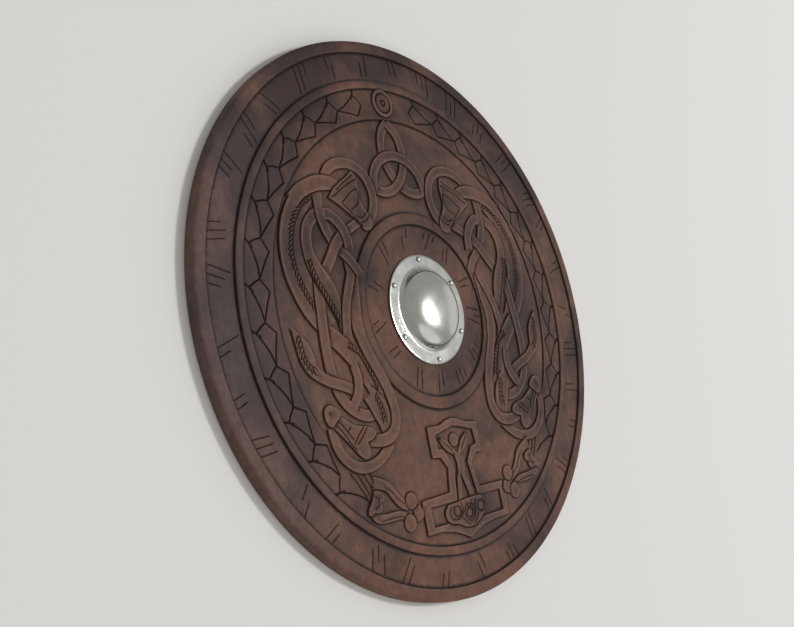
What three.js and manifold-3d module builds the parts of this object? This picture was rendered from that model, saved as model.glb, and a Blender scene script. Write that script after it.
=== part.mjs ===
// A carved wooden round shield with a steel boss, lying on its back.
// Millimetres, +Z out of the carved face, +Y towards the top of the carving, origin at the
// centre of the flat back. One disc of wood carries every ring, strap and figure of the
// carving; a dished steel boss covers its centre and is held by six round-headed nails.
import * as THREE from 'three';
import { mergeVertices } from 'three/addons/utils/BufferGeometryUtils.js';
import Module from 'manifold-3d';

// ---- driving dimensions -------------------------------------------------------------
const BOARD_RADIUS = 250;
const FACE = 12; // thickness of the board, up to its untouched face
const EDGE_ROUND = 1.6;
const SINK = 1.6; // how far the ground lies below the face
const SCALE_SINK = 0.7; // the serpents' scales lie this far below the face
const BAND_SINK = 1.4; // the two bands that carry the marks
const RIM_INNER = 239.4;
const OUTER_RING = [205.8, 212.6];
const FIELD_RADIUS = 176.5;
const INNER_RING = [78.8, 88.6];
const WALL = 0.7; // width of a ring's sloping side
const BOARD_SIDES = 56;

const BOSS_RADIUS = 50;
const BOSS_SHEET = 1.5;
const BOSS_FOOT = 37.6;
const BOSS_SHOULDER = [32.8, 7.4]; // radius, and height above the flange
const BOSS_HEIGHT = 14.2;
const BOSS_SIDES = 28;

const NAIL_COUNT = 6;
const NAIL_CIRCLE = 45.7;
const NAIL_HEAD = 2.6;
const NAIL_SHANK = 1.1;
const NAIL_LENGTH = 8.5;
const NAIL_SIDES = 8;
const GAP = 0.3; // between pieces that touch

const CROSSING = 1.7; // width of the cut beside a strap where it passes over another
const CROSSING_DEPTH = 1.1;
const BALL_SIDES = 9;
const TURN = 38; // degrees that a curve may turn between two of its steps
const STEP = 45; // and the length of its longest step
const FINEST = 0.4; // edges shorter than this are closed up
const LINE_WIDTH = 2.2; // a scale's outline, cut as a V
const LINE_DEPTH = 1.0;

// ---- the carving --------------------------------------------------------------------
// The left beast, from its lowest strap to its highest. Each strap is a name and the points
// [x, y, width] of its middle line; a later strap passes over the earlier ones.
const BEAST = [
  ['crest', [[-98, 118, 8], [-91, 126, 9], [-81, 131, 9], [-69, 132.5, 9], [-57, 129.5, 9],
    [-48, 122, 9], [-43, 111, 9], [-42.5, 100, 9], [-46, 90, 9], [-52, 82, 8]]],
  ['inner strap', [[-85, 40, 9], [-88, 26, 10], [-90, 12, 10.5], [-92.5, 0, 11.5], [-93, -13, 12]]],
  ['body', [[-85, 112, 9], [-107, 113, 14], [-130, 99, 22], [-146, 75, 27], [-151.5, 49, 28],
    [-146, 24, 26], [-133, 1, 22], [-125, -9, 18]]],
  ['upper post', [[-128, 30, 9], [-130, 15, 9.5], [-131.5, 0, 9.5], [-133, -18, 9.5]]],
  ['second body', [[-108, 87, 9.5], [-115, 86, 10], [-122, 82, 10], [-128, 75.5, 10],
    [-131.5, 66, 10.5], [-132, 54, 11], [-129, 43, 13.5], [-123, 32, 16], [-117, 21, 15],
    [-113, 10, 12], [-109.5, -2, 9], [-107.5, -16, 8]]],
  ['bar', [[-83, 72.5, 7.5], [-66, 81, 7.5]]],
  ['drop', [[-109.5, 106, 9.5], [-110.5, 90, 9.5], [-107.5, 73.5, 9.5], [-100, 60, 9.5]]],
  ['long strap', [[-89.5, 46, 8.5], [-89, 36, 8.5], [-93.5, 26, 8.5], [-103, 4, 8.5],
    [-106.5, -16, 8.5], [-103, -28, 8.5]]],
  ['short strap', [[-98.5, 58, 8.5], [-91, 51.5, 8.5], [-84, 44.5, 8.5], [-78.5, 36, 8.5]]],
  ['cross strap', [[-116, 40, 9.5], [-102.5, 57, 9.5], [-89, 68.5, 9.5]]],
  ['hook', [[-105.5, 86.8, 9.5], [-101, 86.5, 9.5], [-94.5, 82, 9.5], [-88.5, 75, 9.5],
    [-85, 66, 9.5], [-84.5, 57, 9.5]]],
  ['low body', [[-127, -13, 14], [-117, -21, 15], [-100, -39, 15.5], [-87.5, -60, 15.5],
    [-85, -68, 15]]],
  ['post', [[-132, -4, 9.5], [-133.5, -25, 9.5], [-133, -41, 9.5], [-131, -52, 9.5]]],
  ['low curve', [[-131, -54, 9], [-123, -69.5, 9], [-109, -79.5, 9], [-92, -81, 9]]],
  ['leaf', [[-164.5, -7, 3], [-161, -14, 8], [-157, -23, 13.5], [-155, -31, 14], [-152, -39, 11],
    [-145, -45, 9], [-126, -53.5, 8.5], [-110, -60.5, 8.5]]],
  ['small hook', [[-106.5, -40, 8.5], [-104.7, -49, 8.5], [-106, -58, 8.5], [-114.5, -71, 8.5]]],
  ['low body end', [[-96, -64, 14], [-90, -72, 17], [-85.5, -81, 18], [-82.5, -98, 12]]],
  ['low crest', [[-144.5, -86, 7], [-142.5, -98, 8.5], [-138, -108, 8.5], [-130, -116, 8.5],
    [-120, -120.5, 8.5], [-109, -121, 8.5], [-98, -118, 8.5], [-88, -112, 8.5], [-79, -104, 8.5]]],
  ['sweep', [[-93, -11, 12], [-88.5, -27, 10.5], [-77, -51, 10.5], [-69, -77, 10], [-70, -90, 10],
    [-77, -99.5, 10], [-89, -103, 10], [-106, -101, 9]]],
];

// The beast's two heads, as outlines.
const BEAST_HEADS = [
  [[-96.5, 101], [-65, 79], [-60, 72.5], [-54, 73.5], [-50.5, 77], [-50, 82], [-60, 99], [-60, 116],
    [-63, 125], [-90, 108]],
  [[-146, -81], [-119, -111], [-114, -114.5], [-109, -113], [-107, -107], [-108, -102],
    [-102, -100.5], [-97, -96.5], [-100, -92], [-117, -87.5], [-134, -78]],
];
const BEAST_CURL = { at: [-141, -76], radius: 6.8 };

// The head in which each serpent of the scaled ring ends: two jaws that curl round a ball.
const JAWS = [
  ['upper jaw', [[-112, -135, 10], [-103, -137.5, 8], [-95.5, -141.5, 7.5], [-90, -148.5, 7.5],
    [-85, -155, 7.5], [-79, -159.5, 6.5], [-68, -161, 5]]],
  ['lower jaw', [[-119, -157, 6], [-113, -163, 7], [-105, -164.7, 6.5], [-87, -165.5, 6],
    [-80, -168, 5], [-73, -171, 4.5]]],
];
const JAW_BALLS = [{ at: [-71, -157], radius: 6.5 }, { at: [-77, -174], radius: 6.8 }];
const CHEEK = [[-110, -141], [-103, -143], [-101, -147], [-106, -151], [-107, -156], [-112, -159],
  [-118, -160], [-121, -157], [-114, -149]];
const TONGUE = [[-71, -165], [-63, -162], [-59.5, -168], [-61, -172.5], [-68.5, -175]];

// The right-hand side mirrors the left by hand and eye, so the beast comes out a little wider
// and lower there, and the serpent's head a little closer to the middle.
const BEAST_MIRROR = { wider: 1.065, inwards: 9.3, taller: 1.03, drop: 3 };
const JAW_MIRROR = { wider: 1, inwards: 5, taller: 1, drop: 1 };

// The hammer's outline and the sunk panel inside it, both from the top left corner round.
const HAMMER = [[-34, -102], [-34.5, -128], [-24, -129], [-17, -139], [-21.5, -160], [-58.5, -160.5],
  [-59, -188.5], [-41, -189], [-25, -192.5], [-5, -201.5], [16, -194.5], [31, -193], [54, -193],
  [54.5, -163], [20, -162], [16, -139], [24, -132], [33, -132], [33.5, -105.5], [18, -103.5],
  [8, -99.5], [0, -98], [-9, -99.5], [-18, -102.5]];
const HAMMER_PANEL = [[-26, -109.5], [-9, -106], [0, -104.5], [9, -106], [27, -111], [28, -125],
  [20, -126], [11, -138], [16, -168], [48, -169], [48, -188], [20, -188], [-4, -194], [-25, -185],
  [-50, -184], [-50, -167], [-13.5, -168], [-10, -139], [-19, -123], [-26, -122]];
const STEM = [
  ['stem', [[0, -127, 11], [1, -138, 10], [-2, -149, 10]]],
  ['left leg', [[-4, -147, 5], [-9, -169, 5]]],
  ['right leg', [[1, -147, 5], [8, -169, 5]]],
];
const BUD = [[-20, -115], [-10, -116], [-6, -112], [0, -110.5], [6, -113], [9, -116], [18, -116],
  [14, -122], [6, -128], [-6, -128.5], [-15, -122]];
const PLAQUE = [[-27, -170], [-32, -175], [-31.5, -181], [-27, -185], [-9, -191.5], [1, -192.5],
  [10, -190], [18, -185], [22, -180], [23, -174], [19, -170]];

// The three-cornered knot: each corner is joined to the next by a bow round the far side.
const KNOT = { at: [-4, 131], corners: [[0, 41], [-34, -20], [34, -20]], bow: 0.75, width: 8.5, steps: 6 };

const MEDALLION = { angle: 90.7, distance: 192.5, radii: [12.5, 6.5], width: 3.5, sides: 11 };

// The serpents' scales, from the medallion down to the heads on both sides.
const SCALES = { first: 113, pitch: 10.05, count: 12, outer: 199.5, middle: 190.5, inner: 180.5 };

// The marks in the two bands are groups of short cuts that spell nothing.
const OUTER_MARKS = { count: 27, from: 219, to: 235, spread: 1.7 };
const INNER_MARKS = { count: 9, from: 57, to: 72, spread: 4.6 };
const MARK_WIDTH = 1.8;
const MARK_DEPTH = 0.7;

// ---- solids ---------------------------------------------------------------------------
const wasm = await Module();
wasm.setup();

function solidOf(geometry) {
  const bare = geometry.index ? geometry.toNonIndexed() : geometry.clone();
  bare.deleteAttribute('normal');
  bare.deleteAttribute('uv');
  const merged = mergeVertices(bare, 1e-4);
  const index = merged.index.array;
  const kept = [];
  for (let i = 0; i < index.length; i += 3) {
    const [a, b, c] = [index[i], index[i + 1], index[i + 2]];
    if (a !== b && b !== c && c !== a) kept.push(a, b, c);
  }
  const mesh = new wasm.Mesh({
    numProp: 3,
    vertProperties: Float32Array.from(merged.attributes.position.array),
    triVerts: Uint32Array.from(kept),
  });
  return new wasm.Manifold(mesh);
}

function geometryOf(solid) {
  const mesh = solid.getMesh();
  const geometry = new THREE.BufferGeometry();
  geometry.setAttribute('position', new THREE.BufferAttribute(Float32Array.from(mesh.vertProperties), 3));
  geometry.setIndex(new THREE.BufferAttribute(Uint32Array.from(mesh.triVerts), 1));
  geometry.computeVertexNormals();
  return geometry;
}

// A solid of revolution about Z from [radius, height] pairs.
function turned(profile, sides) {
  const points = profile.map(([r, z]) => new THREE.Vector2(r, z));
  return new THREE.LatheGeometry(points, sides).rotateX(Math.PI / 2);
}

function polar(radius, degrees) {
  const angle = THREE.MathUtils.degToRad(degrees);
  return [radius * Math.cos(angle), radius * Math.sin(angle)];
}

function prism(outline, bottom, top) {
  const shape = new THREE.Shape(outline.map(([x, y]) => new THREE.Vector2(x, y)));
  const geometry = new THREE.ExtrudeGeometry(shape, { depth: top - bottom, bevelEnabled: false });
  return solidOf(geometry.translate(0, 0, bottom));
}

function disc([x, y], radius, sides) {
  return Array.from({ length: sides }, (_, i) => {
    const [dx, dy] = polar(radius, (360 * i) / sides);
    return [x + dx, y + dy];
  });
}

// The number of steps that a curve needs for how far it bends and how long it is.
function stepsOf(curve) {
  const samples = 24;
  let turning = 0;
  for (let i = 0; i < samples; i += 1) {
    turning += curve.getTangentAt(i / samples).angleTo(curve.getTangentAt((i + 1) / samples));
  }
  const byTurn = THREE.MathUtils.radToDeg(turning) / TURN;
  return Math.max(1, Math.ceil(byTurn), Math.ceil(curve.getLength() / STEP));
}

// The outline of a strap of changing width, widened on each side by extra.
function strapOutline(points, extra) {
  const middle = new THREE.CatmullRomCurve3(points.map(([x, y]) => new THREE.Vector3(x, y, 0)));
  const width = new THREE.CatmullRomCurve3(points.map(([, , w], i) => new THREE.Vector3(i, w, 0)));
  const steps = stepsOf(middle);
  const left = [];
  const right = [];
  for (let i = 0; i <= steps; i += 1) {
    const t = middle.getUtoTmapping(i / steps);
    const at = middle.getPoint(t);
    const along = middle.getTangent(t);
    const half = width.getPoint(t).y / 2 + extra;
    left.push([at.x - along.y * half, at.y + along.x * half]);
    right.unshift([at.x + along.y * half, at.y - along.x * half]);
  }
  return [...left, ...right];
}

// A V-shaped cut along a line of points.
function lineCut(points, width, depth, surface) {
  const path = new THREE.CatmullRomCurve3(points.map(([x, y]) => new THREE.Vector3(x, y, surface)));
  const lift = 0.5;
  const section = new THREE.Shape([
    new THREE.Vector2(-depth, 0),
    new THREE.Vector2(lift, -width / 2),
    new THREE.Vector2(lift, width / 2),
  ]);
  const steps = Math.max(1, points.length - 1);
  const geometry = new THREE.ExtrudeGeometry(section, { steps, extrudePath: path, bevelEnabled: false });
  return solidOf(geometry);
}

// Two ways of placing the points of a figure: as they are, or mirrored to the right.
function sides({ wider, inwards, taller, drop }) {
  const mirror = ([x, y, ...rest]) => [-x * wider - inwards, y * taller - drop, ...rest];
  return [(points) => points, (points) => points.map(mirror)];
}

// ---- the board ------------------------------------------------------------------------
function boardBlank() {
  const scaleTop = FACE - SCALE_SINK;
  const ground = FACE - SINK;
  const band = FACE - BAND_SINK;
  return solidOf(turned([
    [0, 0],
    [BOARD_RADIUS, 0],
    [BOARD_RADIUS, FACE - EDGE_ROUND],
    [BOARD_RADIUS - EDGE_ROUND, FACE],
    [RIM_INNER + WALL, FACE],
    [RIM_INNER, band],
    [OUTER_RING[1] + WALL, band],
    [OUTER_RING[1], FACE],
    [OUTER_RING[0], FACE],
    [OUTER_RING[0] - WALL, scaleTop],
    [FIELD_RADIUS + 2 * WALL, scaleTop],
    [FIELD_RADIUS, ground],
    [INNER_RING[1] + WALL, ground],
    [INNER_RING[1], FACE],
    [INNER_RING[0], FACE],
    [INNER_RING[0] - WALL, band],
    [0, band],
  ], BOARD_SIDES));
}

// Each figure is laid over what is already there: first a cut just outside its outline, so
// that it stands clear of what it crosses, and then the figure itself, up to the face.
function carveOver(board, outline, cutOutline) {
  const cut = prism(cutOutline, FACE - CROSSING_DEPTH, FACE + 1);
  const figure = prism(outline, FACE - 2 * SINK, FACE);
  return board.subtract(cut).add(figure);
}

function layStraps(board, straps, sideOf) {
  let result = board;
  for (const [, points] of straps) {
    const placed = sideOf(points);
    result = carveOver(result, strapOutline(placed, 0), strapOutline(placed, CROSSING));
  }
  return result;
}

// An outline grown outwards from its own middle by the width of a crossing cut.
function grown(outline) {
  const count = outline.length;
  const cx = outline.reduce((sum, p) => sum + p[0], 0) / count;
  const cy = outline.reduce((sum, p) => sum + p[1], 0) / count;
  return outline.map(([x, y]) => {
    const length = Math.hypot(x - cx, y - cy);
    const scale = (length + CROSSING) / length;
    return [cx + (x - cx) * scale, cy + (y - cy) * scale];
  });
}

function layPlate(board, outline) {
  return carveOver(board, outline, grown(outline));
}

function layBeasts(board) {
  let result = board;
  for (const sideOf of sides(BEAST_MIRROR)) {
    result = layStraps(result, BEAST, sideOf);
    for (const head of BEAST_HEADS) result = layPlate(result, sideOf(head));
    result = layPlate(result, sideOf(disc(BEAST_CURL.at, BEAST_CURL.radius, BALL_SIDES)));
  }
  return result;
}

function layJaws(board) {
  let result = board;
  for (const sideOf of sides(JAW_MIRROR)) {
    result = layStraps(result, JAWS, sideOf);
    for (const ball of JAW_BALLS) {
      result = layPlate(result, sideOf(disc(ball.at, ball.radius, BALL_SIDES)));
    }
    result = layPlate(result, sideOf(CHEEK));
    result = layPlate(result, sideOf(TONGUE));
  }
  return result;
}

// Each bow is half an ellipse from one corner to the next, round the far side of the middle.
function layKnot(board) {
  const [cx, cy] = KNOT.at;
  const corner = (i) => KNOT.corners[i % KNOT.corners.length];
  let result = board;
  for (let i = 0; i < KNOT.corners.length; i += 1) {
    const [start, far, end] = [corner(i), corner(i + 1), corner(i + 2)];
    const bow = [];
    for (let step = 0; step <= KNOT.steps; step += 1) {
      const angle = (Math.PI * step) / KNOT.steps;
      const [across, out] = [Math.cos(angle), Math.sin(angle)];
      const place = (axis) => (start[axis] + end[axis]) / 2
        + ((start[axis] - end[axis]) / 2) * across + far[axis] * KNOT.bow * out;
      bow.push([cx + place(0), cy + place(1), KNOT.width]);
    }
    result = carveOver(result, strapOutline(bow, 0), strapOutline(bow, CROSSING));
  }
  return result;
}

function layHammer(board) {
  let result = layPlate(board, HAMMER);
  result = result.subtract(prism(HAMMER_PANEL, FACE - SINK, FACE + 1));
  result = result.add(prism(PLAQUE, FACE - 2 * SINK, FACE));
  result = result.add(prism(BUD, FACE - 2 * SINK, FACE - 0.3));
  for (const [, points] of STEM) {
    result = result.add(prism(strapOutline(points, 0), FACE - 2 * SINK, FACE - 0.3));
  }
  return result;
}

function layMedallion(board) {
  const at = polar(MEDALLION.distance, MEDALLION.angle);
  let result = board;
  for (const radius of MEDALLION.radii) {
    result = layPlate(result, disc(at, radius, MEDALLION.sides));
    const inside = disc(at, radius - MEDALLION.width, MEDALLION.sides);
    result = result.subtract(prism(inside, FACE - SINK, FACE + 1));
  }
  return result;
}

function scaleLines() {
  const { first, pitch, count, outer, middle, inner } = SCALES;
  const lines = [];
  for (let i = 0; i < count; i += 1) {
    const peak = first + i * pitch;
    const neck = peak - 0.3 * pitch;
    lines.push([polar(outer + 3, peak - 0.8), polar(middle, neck), polar(inner, peak - 1.05 * pitch)]);
    lines.push([polar(outer, peak - pitch), polar(middle, neck)]);
  }
  return lines;
}

const mirrorAcross = (points) => points.map(([x, y]) => [-x, y]);

function carveScales(board) {
  const cuts = [];
  for (const line of scaleLines()) {
    for (const placed of [line, mirrorAcross(line)]) {
      cuts.push(lineCut(placed, LINE_WIDTH, LINE_DEPTH, FACE - SCALE_SINK));
    }
  }
  return board.subtract(wasm.Manifold.union(cuts));
}

// One or two short cuts to a mark, one upright and one that leans, changing sides by turns.
function carveMarks(board, { count, from, to, spread }) {
  const cuts = [];
  const surface = FACE - BAND_SINK;
  for (let i = 0; i < count; i += 1) {
    const middle = 90 + ((i + 0.5) * 360) / count;
    const lean = i % 2 === 0 ? 1 : -1;
    const short = from + (to - from) * 0.45;
    const upright = [polar(from, middle - spread * lean), polar(to, middle - spread * lean)];
    const leaning = [polar(short, middle + 0.5 * spread * lean), polar(to, middle + 1.4 * spread * lean)];
    const lines = i % 3 === 1 ? [upright] : [upright, leaning];
    for (const line of lines) cuts.push(lineCut(line, MARK_WIDTH, MARK_DEPTH, surface));
  }
  return board.subtract(wasm.Manifold.union(cuts));
}

function nailPlaces() {
  return Array.from({ length: NAIL_COUNT }, (_, i) => polar(NAIL_CIRCLE, 90 + (360 * i) / NAIL_COUNT));
}

const SEAT = FACE - BAND_SINK; // the flat on which the boss lies
const FLANGE_TOP = SEAT + GAP + BOSS_SHEET;
const NAIL_TIP = FLANGE_TOP + GAP - NAIL_LENGTH;

function drillNailHoles(solid, bottom) {
  let result = solid;
  for (const place of nailPlaces()) {
    result = result.subtract(prism(disc(place, NAIL_SHANK + GAP, NAIL_SIDES), bottom, FACE + 10));
  }
  return result;
}

function board() {
  let solid = boardBlank();
  solid = carveScales(solid);
  solid = layMedallion(solid);
  solid = layKnot(solid);
  solid = layHammer(solid);
  solid = layBeasts(solid);
  solid = layJaws(solid);
  solid = carveMarks(solid, OUTER_MARKS);
  solid = carveMarks(solid, INNER_MARKS);
  return drillNailHoles(solid, NAIL_TIP - GAP).simplify(FINEST);
}

// ---- the boss and its nails ---------------------------------------------------------------
// A spun steel dish: a flat flange, a short steep side and a low crown, open underneath.
function bossSkin(offset) {
  const crownSteps = 3;
  const [shoulderRadius, shoulderHeight] = BOSS_SHOULDER;
  const rise = BOSS_HEIGHT - shoulderHeight;
  const skin = [
    [BOSS_FOOT + 1, 0],
    [BOSS_FOOT - 1, 1.6],
    [shoulderRadius + 1, 5.8],
  ];
  for (let i = 0; i <= crownSteps; i += 1) {
    const share = i / crownSteps;
    skin.push([shoulderRadius * (1 - share), shoulderHeight + rise * (1 - (1 - share) ** 2)]);
  }
  const inwards = 0.55 * offset;
  return skin.map(([r, z]) => [Math.max(0, r === 0 ? 0 : r - inwards), FLANGE_TOP + z - offset]);
}

function boss() {
  const top = bossSkin(0);
  const under = bossSkin(BOSS_SHEET).reverse();
  const profile = [
    ...under.slice(0, -1),
    [BOSS_FOOT + 0.8, SEAT + GAP],
    [BOSS_RADIUS, SEAT + GAP],
    [BOSS_RADIUS, FLANGE_TOP],
    ...top,
  ];
  return drillNailHoles(solidOf(turned(profile, BOSS_SIDES)), SEAT);
}

function nail() {
  const underHead = FLANGE_TOP + GAP;
  return turned([
    [0, NAIL_TIP],
    [NAIL_SHANK, underHead],
    [NAIL_HEAD, underHead],
    [NAIL_HEAD * 0.7, underHead + 1.2],
    [0, underHead + 1.6],
  ], NAIL_SIDES);
}

// ---- the shield -----------------------------------------------------------------------------
const STAINED_WOOD = new THREE.MeshStandardMaterial({ color: '#6e4436', roughness: 0.5, metalness: 0 });
const STEEL = new THREE.MeshStandardMaterial({ color: '#c9c9c4', roughness: 0.25, metalness: 1 });
const NAIL_STEEL = new THREE.MeshStandardMaterial({ color: '#b9b8b2', roughness: 0.3, metalness: 1 });

const shield = new THREE.Group();

function addPiece(name, geometry, material, [x, y] = [0, 0]) {
  const mesh = new THREE.Mesh(geometry, material);
  mesh.name = name;
  mesh.position.set(x, y, 0);
  shield.add(mesh);
}

addPiece('board', geometryOf(board()), STAINED_WOOD);
addPiece('boss', geometryOf(boss()), STEEL);
nailPlaces().forEach((place, i) => addPiece(`nail_${i + 1}`, nail(), NAIL_STEEL, place));

export default shield;
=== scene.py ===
import math
import random
import bpy
import bmesh
import numpy as np
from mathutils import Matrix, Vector, geometry, kdtree
from mathutils.noise import noise as noise_at


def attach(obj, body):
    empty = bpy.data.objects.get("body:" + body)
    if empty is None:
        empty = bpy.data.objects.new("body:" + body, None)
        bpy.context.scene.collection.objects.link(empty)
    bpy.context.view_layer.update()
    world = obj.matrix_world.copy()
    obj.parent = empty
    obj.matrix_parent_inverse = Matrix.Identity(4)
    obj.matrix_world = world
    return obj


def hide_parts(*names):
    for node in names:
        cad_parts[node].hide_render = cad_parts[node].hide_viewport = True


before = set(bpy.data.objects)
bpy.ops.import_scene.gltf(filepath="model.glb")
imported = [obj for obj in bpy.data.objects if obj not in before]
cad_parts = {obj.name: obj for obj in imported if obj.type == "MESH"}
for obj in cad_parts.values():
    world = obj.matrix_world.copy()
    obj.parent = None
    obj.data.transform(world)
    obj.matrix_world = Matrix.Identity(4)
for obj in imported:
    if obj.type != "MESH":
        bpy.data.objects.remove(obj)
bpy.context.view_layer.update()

# ---- camera: stands to the shield's left, looking down on the carved face -----------------------
camera_data = bpy.data.cameras.new("camera")
camera_data.sensor_width = 36.0
camera_data.lens = 43.82
camera = bpy.data.objects.new("camera", camera_data)
bpy.context.scene.collection.objects.link(camera)
camera.location = (-0.6639, -0.0923, 0.5498)
camera.rotation_euler = [math.radians(a) for a in (18.911, -46.547, -16.969)]
bpy.context.scene.camera = camera

# ---- the board ----------------------------------------------------------------------------------
# One disc of soft-grained wood, carved in low relief and stained red-brown, with near-black smoky
# patches where the stain was left thick. Rings divide it into two bands of marks, a band of
# serpents' scales and the field with its interlaced beasts, three-cornered knot and hammer.
MM = 0.001
RADIUS = 250.0
ARCS = 384              # points round each ring
CARVED_STEP = 2.0       # spacing of the mesh's points along a carved line
OPEN_STEP = 3.1         # and on the open ground
FIGURE_TOP = 11.95
EDGE_ROUNDING = 0.25    # how far the knife took the top edges down, and how far in
EDGE_REACH = 0.8
WALL = 0.6              # width of a figure's steep side, seen from above
CORNER = 1.3            # width of the hollow at its foot
GROUND_DEPTH = 1.1      # how far the ground is taken down beside a figure, and how far out
GROUND_REACH = 7.0
CROSSING_DEPTH = 1.5    # the same where one strap goes under another
CROSSING_REACH = 3.2
BALL_FOOT = 11.1
BALL_RISE = 0.9
SHADE_AND_STAIN_REACH = 1.0       # how far the painted shade and the dark stain spread from a corner
RING_SHADE_AND_STAIN_REACH = 1.1
CORNER_SHADE_AND_STAIN = 0.8
EDGE_HIGHLIGHT_REACH = 1.1
SOFT_REACH = 1.8        # how far a cut's softened edge spreads, and how far it's followed
SOFT_MARGIN = 6
WIDE_CUT = 2            # a wider cut is a hollow, and gets less painted shade and stain
WIDE_CUT_SHADE_AND_STAIN = 0.6
UNEVEN = 0.16           # the knife's unevenness, and the size of its two sorts of wave
LONG_WAVE = 15
SHORT_WAVE = 6
BOSS_SEAT = 52          # the wood is left smooth inside this radius
FIGURE_MARGIN = 14      # how far out a figure can matter
ON_EDGE = 0.06          # points as near as this count as on a wall's top
PROBE = 0.3
SHARP_DEGREES = 24
RIM_MARGIN = 1.5        # points on the open ground keep this far from the rim
LINE_MARGIN = 0.45      # and this share of a step from every line
HEX_ROW = 0.866
FAR = 99.0

# Height of the uncarved surface by its distance from the middle.
LEVELS = [
    (0, 10.6), (53, 10.6), (57, 10.8), (66, 10.9), (75, 10.7), (78.1, 10.3), (78.8, 11.8),
    (79.4, 12), (87.9, 12), (88.5, 11.8), (89.2, 10.2), (92, 10.5), (97, 10.85), (103, 11),
    (164, 11), (170, 10.85), (174, 10.5), (176.4, 10.0), (177.2, 11.1), (179, 11.25),
    (198, 11.25), (203, 10.9), (205.2, 10.5), (205.9, 11.8), (206.5, 12), (211.9, 12),
    (212.5, 11.8), (213.2, 10.1), (216, 10.5), (221, 10.8), (231, 10.8), (236, 10.5),
    (238.9, 10.1), (239.6, 11.8), (240.3, 12),
    (247.2, 12), (248.6, 11.8), (249.6, 11.2), (250, 10.4),
]

# The step at the inner edge of the scales runs out before the bottom, where the ground is level.
SCALE_STEP = 176.4
STEP_ENDS = (116, 124)
OPEN_GROUND = [(164, 11), (198, 11.1), (203, 10.9)]
# Feet of the rings' steps: radius, and which way the low side lies.
RING_FEET = [(78.1, -1), (89.2, 1), (SCALE_STEP, -1), (205.2, -1), (213.2, 1), (238.9, -1)]

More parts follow.
